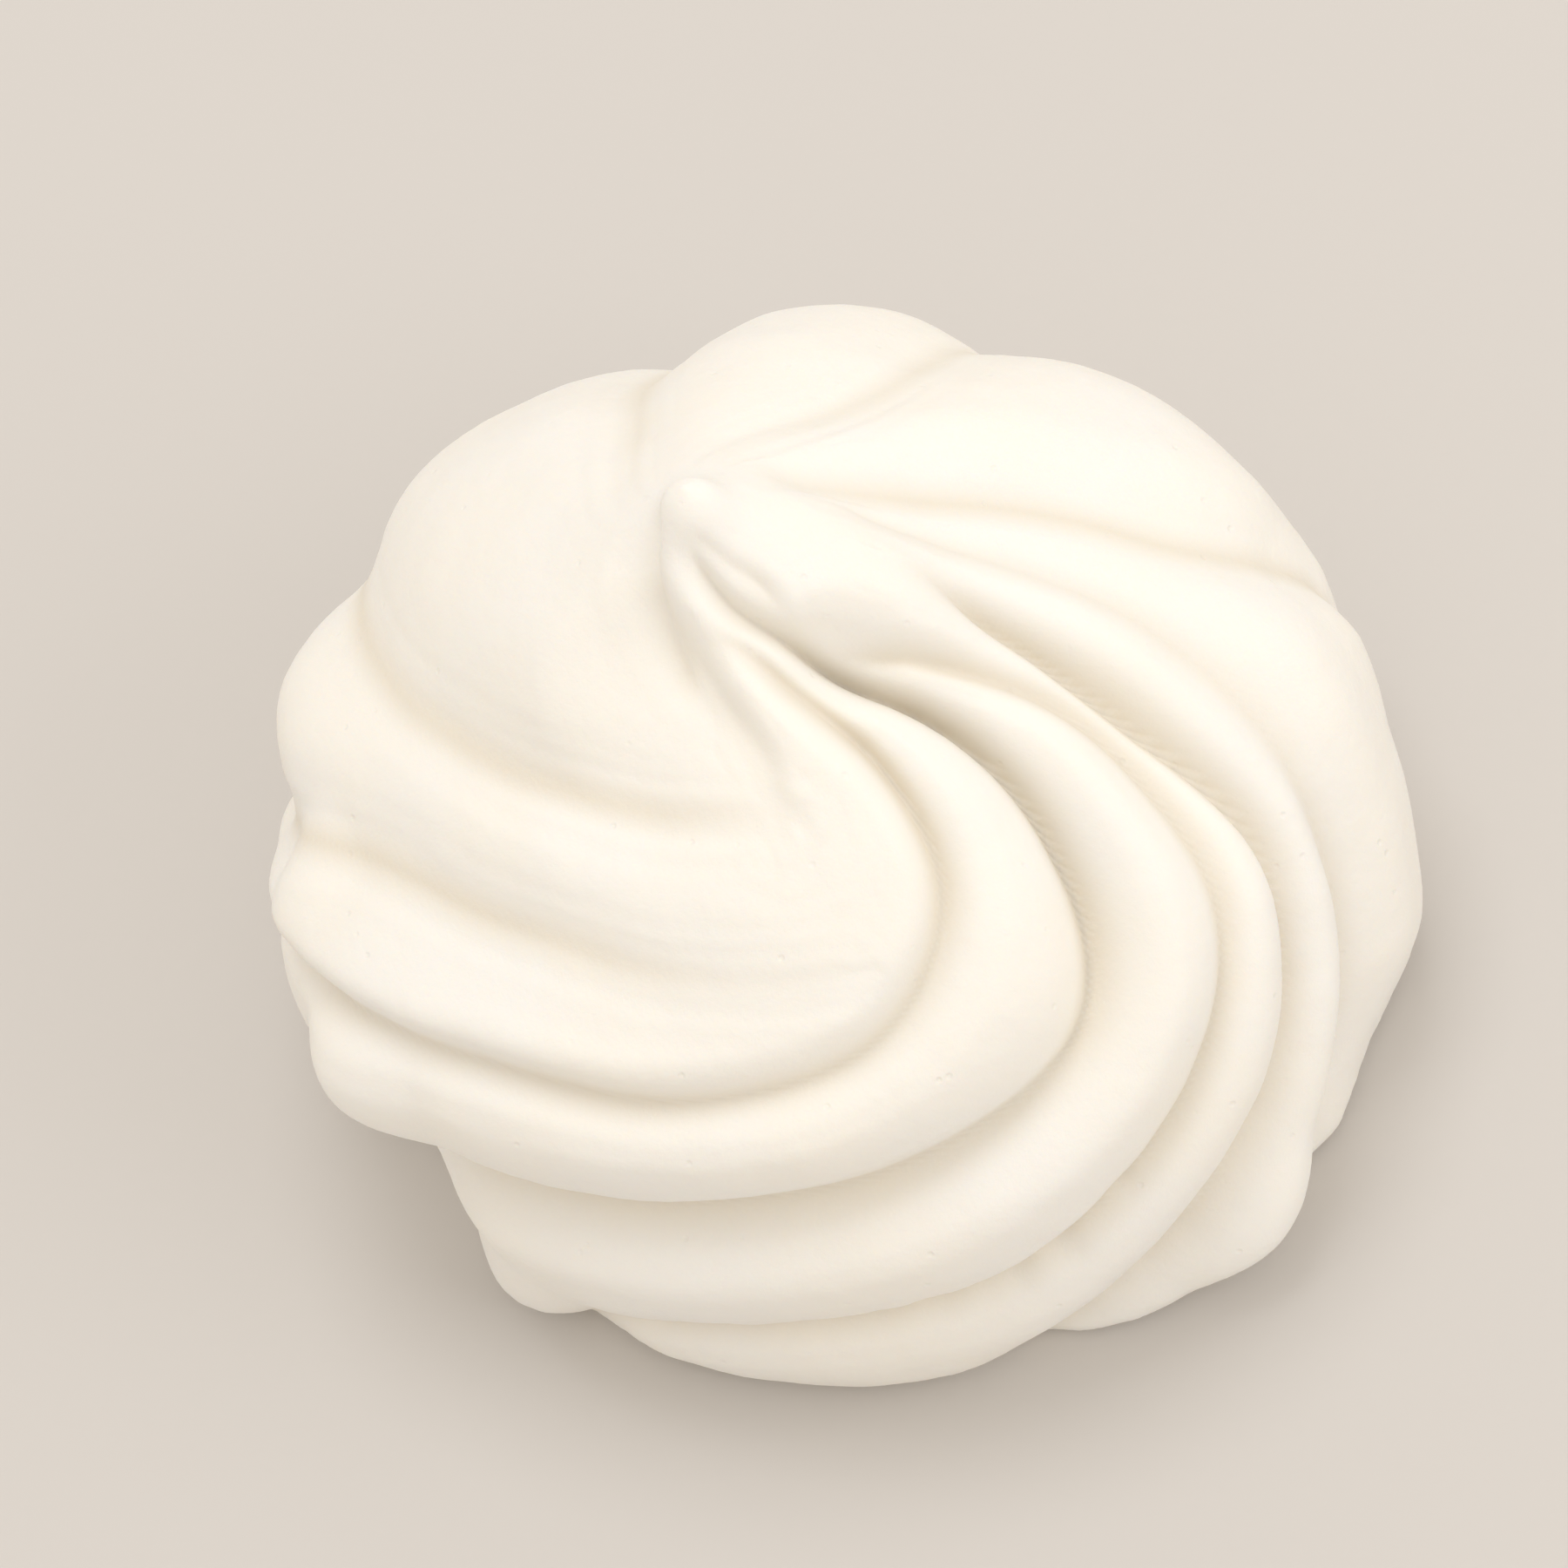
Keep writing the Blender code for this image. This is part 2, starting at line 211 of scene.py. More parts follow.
@dataclass(frozen=True)
class Furrow:
    """A furrow between two ridges, laid from the tip down through (turn, height) stations.

    One whose last station is on the foot runs out there, and any other fades at its end. Its depth falls off
    over its reach above and below, or over what room is left near the tip. A crack is a thin slit along its
    bottom, as far as a share of its length. A lip is a low swelling on the side above it.
    """

    stations: tuple[tuple[float, float], ...]
    depth: float
    foot_depth: float
    above: float
    below: float
    blunt: float = 0.18
    fade: float = 0.08
    room_above: float = 0.42
    room_below: float = 0.42
    crack: float = 0.0
    crack_until: float = 1.0
    lip: float = 0.0

    run_out: float = 1.5
    slope_step: float = 0.2
    full_depth_radius: float = 9.0
    least_depth: float = 0.10
    least_reach: float = 0.3
    blunt_per_radius: float = 0.10
    least_blunt: float = 0.02
    fall_off: float = 2.5
    side_blend: float = 0.6
    crack_reach: float = 0.75
    crack_fade: float = 0.12
    lip_at: float = 1.5
    lip_width: float = 1.1
    lip_from: float = 0.35

    def lay(self, body: SmoothBody, steps: int) -> Laid:
        """Carry the stations onto the body as a smooth line.

        Args:
            body: the body to lie on.
            steps: how many straight steps the line has.

        Returns:
            The line, with its shape at each point.
        """
        stations = np.array(self.stations, float)
        last = stations[-1] - stations[-2]
        meets_foot = stations[-1, 1] == 0.0
        if meets_foot:
            stations = np.vstack([stations, stations[-1] + last * self.run_out / abs(last[1])])
        turn = np.unwrap(np.radians(stations[:, 0]))
        mean_radius = body.radius_at(np.clip(stations[:, 1], 0.0, body.height)).mean()
        line = smooth_curve(np.column_stack([turn * mean_radius, stations[:, 1]]), steps + 1)
        turn = line[:, 0] / mean_radius
        height = np.clip(line[:, 1], 0.0, body.height)
        radius = body.radius_at(height)
        points = body.place(turn, radius, height)
        points[:, 2] = np.where(line[:, 1] < 0.0, line[:, 1], points[:, 2])
        step = self.slope_step
        fall = (body.radius_at(height - step) - body.radius_at(height + step)) / (2.0 * step)
        outward = np.column_stack([np.cos(turn), np.sin(turn), fall])
        outward /= np.linalg.norm(outward, axis=1)[:, None]
        along = np.linspace(0.0, 1.0, steps + 1)
        depth = self.depth + (self.foot_depth - self.depth) * smooth_step(along)
        depth = depth * smooth_step(along / self.fade)
        if not meets_foot:
            depth = depth * smooth_step((1.0 - along) / self.fade)
        near_tip = np.clip(radius / self.full_depth_radius, self.least_depth, 1.0)
        depth = depth * near_tip
        above = np.minimum(self.above, self.least_reach + self.room_above * radius)
        below = np.minimum(self.below, self.least_reach + self.room_below * radius)
        blunt = np.minimum(self.blunt, self.least_blunt + self.blunt_per_radius * radius)
        crack = self.crack * smooth_step(along / self.crack_fade)
        crack = crack * smooth_step((self.crack_until - along) / self.crack_fade) * near_tip
        lip = self.lip * smooth_step((along - self.lip_from) / self.crack_fade)
        return Laid(points, outward, depth, above, below, blunt, crack, lip)

    def cut(self, points: np.ndarray, laid: Laid) -> tuple[np.ndarray, np.ndarray, np.ndarray]:
        """Measure how the furrow cuts into the body.

        Args:
            points: places on the smooth body, one to a row.
            laid: the furrow's own line.

        Returns:
            For each place the depth cut away, the distance from the line, less than nothing above it, and
            how far along the line it lies, in millimetres.
        """
        dip = np.zeros(len(points))
        slit = np.zeros(len(points))
        lift = np.zeros(len(points))
        across = np.full(len(points), np.inf)
        along = np.zeros(len(points))
        walked = 0.0
        for k in range(len(laid.points) - 1):
            run = laid.points[k + 1] - laid.points[k]
            length = np.linalg.norm(run)
            room = max(laid.above[k], laid.below[k]) + length
            off = points - laid.points[k]
            near = np.flatnonzero(np.einsum("ij,ij->i", off, off) < room**2)
            off = off[near]
            share = np.clip(off @ run / length**2, 0.0, 1.0)
            off = off - share[:, None] * run
            away = np.linalg.norm(off, axis=1)
            down = np.cross(laid.outward[k], run)
            side = off @ (down / np.linalg.norm(down))
            depth, above, below, blunt, crack, lip = (
                values[k] + (values[k + 1] - values[k]) * share
                for values in (laid.depth, laid.above, laid.below, laid.blunt, laid.crack, laid.lip)
            )
            reach = above + (below - above) * smooth_step(0.5 + 0.5 * side / self.side_blend)
            slack = np.hypot(away, blunt) - blunt
            dip_here = depth * np.clip(1.0 - slack / reach, 0.0, 1.0) ** self.fall_off
            slit_here = crack * np.clip(1.0 - away / self.crack_reach, 0.0, 1.0) ** 2
            dip[near] = np.maximum(dip[near], dip_here)
            slit[near] = np.maximum(slit[near], slit_here)
            nearer = away < np.abs(across[near])
            across[near[nearer]] = np.copysign(away, side)[nearer]
            lift[near[nearer]] = lip[nearer]
            along[near[nearer]] = (walked + share * length)[nearer]
            walked += length
        from_lip = (across + self.lip_at) / self.lip_width
        return dip + slit - lift * np.exp(-(from_lip**2)), across, along


@dataclass
class Marks:
    """What the furrows leave at each point of the body.

    The way across and along is that of the nearest furrow. Each furrow's own is shifted by its number, so
    that no two share a pattern.
    """

    dip: np.ndarray
    crease: np.ndarray
    across: np.ndarray
    along: np.ndarray
    nearest: np.ndarray


@dataclass(frozen=True)
class Hollow:
    """A soft dent in the body, or a swelling where its depth is less than nothing."""

    turn: float
    height: float
    radius: float
    depth: float

    def dent(self, points: np.ndarray, body: SmoothBody) -> np.ndarray:
        """How deep it dents the smooth body under each point."""
        height = np.float64(self.height)
        middle = body.place(np.float64(radians(self.turn)), body.radius_at(height), height)
        away = np.linalg.norm(points - middle, axis=1)
        return self.depth * np.clip(1.0 - (away / self.radius) ** 2, 0.0, 1.0) ** 2


FURROWS = (
    # The fold down the left of the tip's neck, and the soft hollow under the broad lobe beside it.
    Furrow(
        ((140, 31.4), (190, 29.9), (222, 28.8), (245, 27.8), (258, 26.6), (257, 25.2)),
        depth=3.2, foot_depth=1.5, above=7.0, below=2.2, blunt=0.3, fade=0.2, room_above=0.95,
    ),
    Furrow(
        ((262, 25.6), (233, 25.5), (196, 25.0), (164, 23.2), (136, 18.6), (88, 0)),
        depth=1.6, foot_depth=1.8, above=6.5, below=5.5, blunt=1.8, fade=0.2,
    ),
    # A short sharp crease where that lobe ends in a tongue.
    Furrow(
        ((194, 29.7), (215, 28.8), (228, 28.2), (240, 27.5)),
        depth=0.6, foot_depth=0.9, above=1.6, below=0.9, blunt=0.08, fade=0.25,
    ),
    # A wide, shallow fold along the underside of that lobe's neighbour.
    Furrow(
        ((262, 22.2), (234, 22.2), (205, 21.9), (175, 19.8), (150, 12), (108, 0)),
        depth=1.6, foot_depth=1.5, above=5.5, below=4.6, blunt=1.4, fade=0.35,
    ),
    Furrow(
        (
            (244, 29.2), (272, 28.0), (286, 25.9), (284, 23.6), (266, 20.5),
            (238, 18.9), (205, 17.9), (176, 14.6), (150, 7.5), (125, 0),
        ),
        depth=1.4, foot_depth=1.0, above=2.0, below=2.9, fade=0.12, crack=0.8, crack_until=0.3, lip=0.35,
    ),
    # A short crease beside the tip, which leaves a small leaf of a ridge above the next one.
    Furrow(
        ((242, 31.2), (264, 30.9), (282, 30.2), (292, 29.6), (290, 28.7)),
        depth=1.1, foot_depth=1.2, above=1.8, below=1.2, blunt=0.08, fade=0.25,
    ),
    # The deepest furrow, across the front, and those after it round to the back.
    Furrow(
        (
            (228, 31.0), (264, 29.5), (291, 28.0), (306, 25.4), (301, 21.8),
            (288, 17.8), (263, 14.8), (234, 12.4), (203, 9.8), (150, 0),
        ),
        depth=2.5, foot_depth=3.0, above=6.2, below=3.1, blunt=0.2, crack=1.5, crack_until=0.45,
    ),
    Furrow(
        (
            (298, 28.0), (316, 26.2), (321, 24.0), (315, 20.3), (304, 15.9),
            (290, 12.2), (268, 8.2), (238, 5.8), (219, 3.2), (207, 0),
        ),
        depth=1.5, foot_depth=1.1, above=5.0, below=2.9, crack=0.45, crack_until=1.0,
    ),
    Furrow(
        (
            (338, 27.6), (333, 25.6), (325, 22.2), (317, 15.6),
            (306, 10.5), (291, 6.2), (272, 1.4), (266, 0),
        ),
        depth=2.1, foot_depth=1.8, above=5.3, below=2.7, blunt=0.2, crack=1.1, crack_until=0.55,
    ),
    Furrow(
        ((5, 28.6), (350, 26.2), (341, 22.6), (331, 18.2), (322, 11), (311, 4.6), (300, 0)),
        depth=1.2, foot_depth=2.4, above=5.3, below=3.9, blunt=0.4,
    ),
    Furrow(
        ((30, 29.4), (11, 27.0), (2, 24.4), (355, 20.8), (357, 12), (345, 0)),
        depth=1.7, foot_depth=1.4, above=6.2, below=4.3, blunt=0.9,
    ),
    Furrow(
        ((70, 29.5), (43, 25.6), (44, 18), (34, 8), (12, 0)),
        depth=0.9, foot_depth=1.8, above=6.2, below=4.8, blunt=1.2, fade=0.3,
    ),
    Furrow(
        ((120, 29.8), (96, 26.4), (86, 20), (70, 9), (50, 0)),
        depth=1.2, foot_depth=1.8, above=6.2, below=4.8, blunt=1.0, fade=0.3,
    ),
)
HOLLOWS = (
    # Beside the neck of the tip.
    Hollow(turn=218, height=27.6, radius=5.0, depth=1.1),
    Hollow(turn=300, height=27.6, radius=3.0, depth=0.9),
    # The far side falls away a little, and one ridge on the right stands out.
    Hollow(turn=98, height=18.0, radius=10.0, depth=0.9),
    Hollow(turn=355, height=12.0, radius=5.0, depth=-0.8),
    # The foot, where the ends of the ridges stand in and out.
    Hollow(turn=171, height=17.6, radius=3.4, depth=-0.8),
    Hollow(turn=190, height=13.2, radius=4.5, depth=-1.3),
    Hollow(turn=146, height=6.0, radius=7.0, depth=-0.8),
    Hollow(turn=167, height=2.4, radius=4.5, depth=-1.3),
    Hollow(turn=186, height=3.0, radius=9.0, depth=2.0),
    Hollow(turn=202, height=1.2, radius=5.0, depth=-1.3),
    Hollow(turn=296, height=3.0, radius=5.0, depth=-1.1),
    Hollow(turn=319, height=2.0, radius=6.0, depth=1.2),
)
# Small broken bubbles low on the front.
PITS = (
    Hollow(turn=274, height=8.8, radius=1.1, depth=0.5),
    Hollow(turn=268, height=7.9, radius=0.9, depth=0.5),
    Hollow(turn=259, height=7.6, radius=1.5, depth=0.3),
    Hollow(turn=283, height=10.6, radius=0.8, depth=0.25),
)


class Nodes:
    """A short hand for adding and joining the nodes of one material."""

    def __init__(self, name: str) -> None:
        """Start a material with an empty node tree."""
        self.material = bpy.data.materials.new(name)
        self.material.use_nodes = True
        self.tree = self.material.node_tree
        self.shader = self.tree.nodes["Principled BSDF"]

    def add(self, kind: str, inputs: dict | None = None, **settings: object) -> bpy.types.Node:
        """Add a node.

        Args:
            kind: Blender's name of the node type, without its prefix.
            inputs: values or output sockets for its inputs, by name or number.
            settings: its own properties.

        Returns:
            The node.
        """
        node = self.tree.nodes.new("ShaderNode" + kind)
        for name, value in settings.items():
            setattr(node, name, value)
        for name, value in (inputs or {}).items():
            self.put(node.inputs[name], value)
        return node

    def put(self, socket: Socket, value: object) -> None:
        """Give an input a value, or join it to an output."""
        if isinstance(value, Socket):
            self.tree.links.new(value, socket)
        else:
            socket.default_value = value

    def math(self, operation: str, *values: object) -> Socket:
        """Join values by a Math node and return its output."""
        return self.add("Math", dict(enumerate(values)), operation=operation).outputs[0]

    def mix(self, share: object, first: object, second: object) -> Socket:
        """Mix two colours and return the outcome."""
        node = self.add("Mix", data_type="RGBA", clamp_factor=True)
        for socket, value in ((node.inputs[0], share), (node.inputs[6], first), (node.inputs[7], second)):
            self.put(socket, value)
        return node.outputs[2]

    def ramp(self, value: object, low: float, high: float) -> Socket:
        """Spread the values from low to high over 0 to 1, eased."""
        inputs = {"Value": value, "From Min": low, "From Max": high}
        return self.add("MapRange", inputs, interpolation_type="SMOOTHSTEP").outputs[0]

    def cloud(self, place: Socket, scale: float, detail: float, roughness: float = 0.5) -> Socket:
        """Soft noise of a scale, with finer layers."""
        inputs = {"Vector": place, "Scale": scale, "Detail": detail, "Roughness": roughness}
        return self.add("TexNoise", inputs).outputs["Fac"]


@dataclass(frozen=True)
class BakedCrust:
    """The dry, dull, warm white crust of baked egg white and sugar, with warm shade painted into its
    creases.

    Colours are linear. Scales are waves to the millimetre, and heights are millimetres.
    """

    ivory: Colour = (0.905, 0.875, 0.815, 1.0)
    chalk: Colour = (0.895, 0.875, 0.835, 1.0)
    # Painted shade: the warm, darker colour laid into the bottoms of the furrows where shade falls.
    crease: Colour = (0.780, 0.715, 0.600, 1.0)
    foot: Colour = (0.830, 0.760, 0.630, 1.0)
    cloud_scale: float = 0.11
    cloud_detail: float = 3.0
    cloud_range: tuple[float, float] = (0.38, 0.66)
    painted_crease_shade: float = 0.85
    speck_scale: float = 0.9
    speck_detail: float = 5.0
    speck_range: tuple[float, float] = (0.3, 0.7)
    toasted_range: tuple[float, float] = (0.25, 0.75)
    roughness: tuple[float, float] = (0.52, 0.70)
    foot_roughness: float = 0.2
    grain_scale: float = 2.6
    grain_detail: float = 6.0
    grain_roughness: float = 0.62
    grain_height: float = 0.035
    foot_grain: float = 0.12
    pore_scale: float = 0.9
    pore_height: float = 0.03
    pore_edge: tuple[float, float] = (0.03, 0.16)
    pore_chance: tuple[float, float] = (0.62, 0.70)
    specular: float = 0.38
    scatter: float = 0.22
    scatter_radius: tuple[float, float, float] = (1.0, 0.78, 0.52)
    scatter_depth: float = 0.9 * MM

    def build(self) -> bpy.types.Material:
        """Make the material from Object coordinates and the crust's own notes."""
        nodes = Nodes("baked_meringue_crust")
        where = nodes.add("TexCoord").outputs["Object"]
        place = nodes.add("Mapping", {"Vector": where, "Scale": (1.0 / MM,) * 3}).outputs[0]
        crease = nodes.add("Attribute", attribute_name=Note.CREASE.value).outputs["Fac"]
        under = nodes.add("Attribute", attribute_name=Note.UNDERSIDE.value).outputs["Fac"]
        speck = nodes.cloud(place, self.speck_scale, self.speck_detail)

        nodes.put(nodes.shader.inputs["Base Color"], self.colour(nodes, place, speck, crease, under))
        nodes.put(nodes.shader.inputs["Roughness"], self.dullness(nodes, speck, under))
        relief = self.relief(nodes, place, under)
        bump = nodes.add("Bump", {"Strength": 1.0, "Distance": MM, "Height": relief})
        nodes.put(nodes.shader.inputs["Normal"], bump.outputs[0])

        nodes.shader.inputs["Metallic"].default_value = 0.0
        nodes.shader.inputs["Specular IOR Level"].default_value = self.specular
        nodes.shader.inputs["Subsurface Weight"].default_value = self.scatter
        nodes.shader.inputs["Subsurface Radius"].default_value = self.scatter_radius
        nodes.shader.inputs["Subsurface Scale"].default_value = self.scatter_depth
        return nodes.material

    def colour(self, nodes: Nodes, place: Socket, speck: Socket, crease: Socket, under: Socket) -> Socket:
        """Mix the faintly clouded white, with painted warm shade in the creases, and warmer on the
        underside.

        Args:
            nodes: the material's nodes.
            place: the place in millimetres.
            speck: fine uneven specks.
            crease: how deep in a crease the place lies.
            under: how far in on the underside it lies.

        Returns:
            The colour.
        """
        clouds = nodes.cloud(place, self.cloud_scale, self.cloud_detail)
        white = nodes.mix(nodes.ramp(clouds, *self.cloud_range), self.ivory, self.chalk)
        # Painted warm shade: the white darkens towards the crease colour as deep in a crease as the note
        # says.
        white = nodes.mix(nodes.math("MULTIPLY", crease, self.painted_crease_shade), white, self.crease)
        toasted = nodes.math("MULTIPLY", under, nodes.ramp(speck, *self.toasted_range))
        return nodes.mix(toasted, white, self.foot)

    def dullness(self, nodes: Nodes, speck: Socket, under: Socket) -> Socket:
        """Vary the roughness a little over the crust, and raise it on the underside."""
        spread = {"Value": speck}
        spread.update(zip(("From Min", "From Max"), self.speck_range))
        spread.update(zip(("To Min", "To Max"), self.roughness))
        rough = nodes.add("MapRange", spread).outputs[0]
        return nodes.math("ADD", rough, nodes.math("MULTIPLY", under, self.foot_roughness))

    def relief(self, nodes: Nodes, place: Socket, under: Socket) -> Socket:
        """Give the fine grain, coarser on the underside, and a few pores."""
        grain = nodes.cloud(place, self.grain_scale, self.grain_detail, self.grain_roughness)
        grain_height = nodes.math("ADD", self.grain_height, nodes.math("MULTIPLY", under, self.foot_grain))
        cells = nodes.add("TexVoronoi", {"Vector": place, "Scale": self.pore_scale, "Randomness": 1.0})
        pore = nodes.math("SUBTRACT", 1.0, nodes.ramp(cells.outputs["Distance"], *self.pore_edge))
        pore = nodes.math("MULTIPLY", pore, nodes.ramp(cells.outputs["Color"], *self.pore_chance))
        fine = nodes.math("MULTIPLY", grain, grain_height)
        return nodes.math("SUBTRACT", fine, nodes.math("MULTIPLY", pore, self.pore_height))


@dataclass
class MeringueCrust:
    """The whole outside of the cookie as one closed skin: ridges, tip, rim and underside."""

    body: SmoothBody = field(default_factory=SmoothBody)
    columns: int = 440
    outside_rings: int = 204
    underside_rings: int = 18
    line_steps: int = 120
    unevenness: tuple[Relief, ...] = (
        Relief(0.16, 0.11, 3.1),
        Relief(0.05, 0.45, 17.3),
        Relief(0.018, 1.6, 41.7),
    )
    full_relief_radius: float = 6.0
    least_relief: float = 0.05
    streak: Relief = Relief(0.12, 1.0, 5.3)
    streak_waves: tuple[float, float] = (1.5, 0.07)
    streak_reach: float = 3.6
    streak_shift: float = 31.0
    wrinkle: Relief = Relief(1.0, 0.8, 12.9)
    wrinkle_share: float = 0.1
    wrinkle_depth: float = 0.5
    wrinkle_reach: float = 1.6
    wrinkle_top: float = 17.0
    crease_reach: float = 1.1
    eased_crease: float = 0.02
    eased_above: float = 0.3 * MM
    easing: int = 3
    ease: float = 0.5
    ragged: tuple[Relief, ...] = (Relief(1.0, 0.55, 7.7), Relief(0.5, 1.4, 9.1))
    ragged_depth: float = 0.28
    ragged_height: float = 0.8
    toasted_edge: float = 0.08
    dome_height: float = 0.5
    dome_edge: float = 0.35
    dome_grain: tuple[Relief, ...] = (Relief(1.0, 0.35, 2.2), Relief(0.6, 1.1, 6.6))
    dome_grain_height: float = 0.16
    weld: float = 0.02 * MM

    def build(self) -> bpy.types.Object:
        """Model the skin and dress it.

        Returns:
            The finished piece.
        """
        crust = self.rough_form()
        self.sculpt(crust)
        self.ease_creases(crust)
        self.dress(crust)
        return crust

    def rough_form(self) -> bpy.types.Object:
        """Start from a ball cut off at a quarter of its height, closed by a disc of rings.

        Returns:
            One closed piece of the cookie's width, not yet shaped.
        """
        low, high = CAD_BOX
        middle = (low + high) / 2.0
        radius = (high.x - low.x) / 2.0
        foot_radius = radius * cos(FOOT_LATITUDE)
        foot = Vector((middle.x, middle.y, middle.z - radius * sin(FOOT_LATITUDE)))

        bpy.ops.object.select_all(action="DESELECT")
        bpy.ops.mesh.primitive_circle_add(
            vertices=self.columns, radius=foot_radius, fill_type="NGON", location=foot
        )
        disc = bpy.context.object
        bpy.ops.object.mode_set(mode="EDIT")
        bpy.ops.mesh.select_mode(type="FACE")
        bpy.ops.mesh.select_all(action="SELECT")
        for _ in range(self.underside_rings - 1):
            bpy.ops.mesh.inset(thickness=foot_radius / self.underside_rings, depth=0.0)
        bpy.ops.mesh.poke()
        bpy.ops.object.mode_set(mode="OBJECT")

        bpy.ops.object.select_all(action="DESELECT")
        bpy.ops.mesh.primitive_uv_sphere_add(
            segments=self.columns, ring_count=self.outside_rings * 3 // 2, radius=radius, location=middle
        )
        ball = bpy.context.object
        bpy.ops.object.mode_set(mode="EDIT")
        bpy.ops.mesh.select_mode(type="VERT")
        bpy.ops.mesh.select_all(action="DESELECT")
        mesh = bmesh.from_edit_mesh(ball.data)
        for vert in mesh.verts:
            vert.select = vert.co.z < foot.z - middle.z - self.weld
        bmesh.update_edit_mesh(ball.data)
        bpy.ops.mesh.delete(type="VERT")
        bpy.ops.object.mode_set(mode="OBJECT")

        ball.select_set(True)
        disc.select_set(True)
        bpy.context.view_layer.objects.active = ball
        bpy.ops.object.join()
        bpy.ops.object.mode_set(mode="EDIT")
        bpy.ops.mesh.select_all(action="SELECT")
        bpy.ops.mesh.remove_doubles(threshold=self.weld)
        bpy.ops.mesh.normals_make_consistent(inside=False)
        bpy.ops.object.mode_set(mode="OBJECT")
        bpy.ops.object.transform_apply(location=True, rotation=True, scale=True)
        ball.name = "meringue_crust"
        ball.data.name = "meringue_crust"
        return ball

    def sculpt(self, crust: bpy.types.Object) -> None:
        """Move every point of the rough form to its place on the cookie, and note where the creases are."""
        mesh = crust.data
        rough = np.empty(len(mesh.vertices) * 3)
        mesh.vertices.foreach_get("co", rough)
        rough = rough.reshape(-1, 3)
        low, high = CAD_BOX
        radius = (high.x - low.x) / 2.0
        rough = (rough - np.array((low + high) / 2.0)) / radius
        turn = np.arctan2(rough[:, 1], rough[:, 0])
        outside = rough[:, 2] > rough[:, 2].min() + TOUCH
        latitude = np.arcsin(np.clip(rough[:, 2], -1.0, 1.0))
        share = (latitude + FOOT_LATITUDE) / (pi / 2.0 + FOOT_LATITUDE)
        inward = np.hypot(rough[:, 0], rough[:, 1]) / cos(FOOT_LATITUDE)
        on_rim = np.isclose(inward, 1.0, atol=TOUCH) & ~outside
        outer = outside | on_rim
        shape, crease = self.outside_points(turn[outer], np.where(on_rim, 0.0, share)[outer])

        points = np.empty_like(rough)
        points[outer] = shape
        rim_turn = turn[on_rim]
        order = np.argsort(rim_turn)
        rim = points[on_rim][order]
        rim_turn = rim_turn[order]
        inner = ~outer
        points[inner] = self.underside_points(turn[inner], inward[inner], rim, rim_turn)

        centre = (points[outer].min(axis=0) + points[outer].max(axis=0)) / 2.0
        points[:, :2] -= centre[:2]
        mesh.vertices.foreach_set("co", (points * MM).ravel())
        everywhere = np.zeros(len(points))
        everywhere[outer] = crease
        self.note(mesh, Note.CREASE, everywhere)
        toasted = np.where(inner, smooth_step((1.0 - inward) / self.toasted_edge), 0.0)
        self.note(mesh, Note.UNDERSIDE, toasted)
        mesh.update()

    def outside_points(self, turn: np.ndarray, share: np.ndarray) -> tuple[np.ndarray, np.ndarray]:
        """Shape the outside.

        Args:
            turn: each point's turn round the axis, in radians.
            share: how far up the profile it lies, from 0 at the rim to 1 at the tip.

        Returns:
            The points, and how deep in a crease each lies, from 0 to 1.
        """
        smooth, outward, radius = self.smooth_outside(turn, share)
        height = smooth[:, 2]
        marks = self.cut_furrows(smooth)
        dip = marks.dip + sum(hollow.dent(smooth, self.body) for hollow in HOLLOWS + PITS)
        room = np.clip(radius / self.full_relief_radius, self.least_relief, 1.0)
        dip = dip - self.streaks(marks) * room + self.wrinkles(marks, smooth)
        for layer in self.unevenness:
            dip = dip - layer.at(smooth) * room
        rim = np.exp(-height / self.ragged_height) * self.ragged_depth
        ragged = sum(layer.at(smooth) for layer in self.ragged)
        points = smooth - outward * (dip - rim * ragged)[:, None]
        points[:, 2] = np.maximum(points[:, 2], 0.0)
        return points, marks.crease

    def smooth_outside(
        self, turn: np.ndarray, share: np.ndarray
    ) -> tuple[np.ndarray, np.ndarray, np.ndarray]:
        """Find the smooth body under each point.

        Args:
            turn: each point's turn round the axis, in radians.
            share: how far up the profile it lies, from 0 at the rim to 1 at the tip.

        Returns:
            The points on the body, the directions straight out of it, and the distances from its axis.
        """
        rows = self.body.outline()
        places = np.linspace(0.0, 1.0, len(rows))
        slope = np.gradient(rows, axis=0)
        radius, height, radius_run, height_run = (
            np.interp(share, places, values) for values in (rows[:, 0], rows[:, 1], slope[:, 0], slope[:, 1])
        )
        length = np.hypot(radius_run, height_run)
        level = height_run / length
        upward = -radius_run / length * smooth_step(height / self.body.foot_roll)
        outward = np.column_stack([level * np.cos(turn), level * np.sin(turn), upward])
        return self.body.place(turn, radius, height), outward, radius

    def cut_furrows(self, smooth: np.ndarray) -> Marks:
        """Cut all the furrows into the smooth body, and keep where each point lies by its nearest one."""
        count = len(smooth)
        marks = Marks(*(np.zeros(count) for _ in range(4)), nearest=np.full(count, np.inf))
        for number, furrow in enumerate(FURROWS):
            cut, away, walked = furrow.cut(smooth, furrow.lay(self.body, self.line_steps))
            marks.dip += cut
            near = np.abs(away) < marks.nearest
            marks.nearest[near] = np.abs(away[near])
            marks.across[near] = away[near] + self.streak_shift * number
            marks.along[near] = walked[near]
            # How deep in a crease each point lies, which the finish also uses to paint shade into the
            # creases.
            deep = cut / max(furrow.depth, furrow.foot_depth)
            deep = deep * np.clip(1.0 - np.abs(away) / self.crease_reach, 0.0, 1.0)
            marks.crease = np.maximum(marks.crease, np.clip(deep, 0.0, 1.0))
        return marks

    def streaks(self, marks: Marks) -> np.ndarray:
        """Fine lines drawn out along the ridges by the nozzle, strongest near the furrows."""
        across, along = self.streak_waves
        places = np.column_stack([marks.across * across, marks.along * along, np.zeros(len(marks.across))])
        return self.streak.at(places) * smooth_step(1.0 - marks.nearest / self.streak_reach)

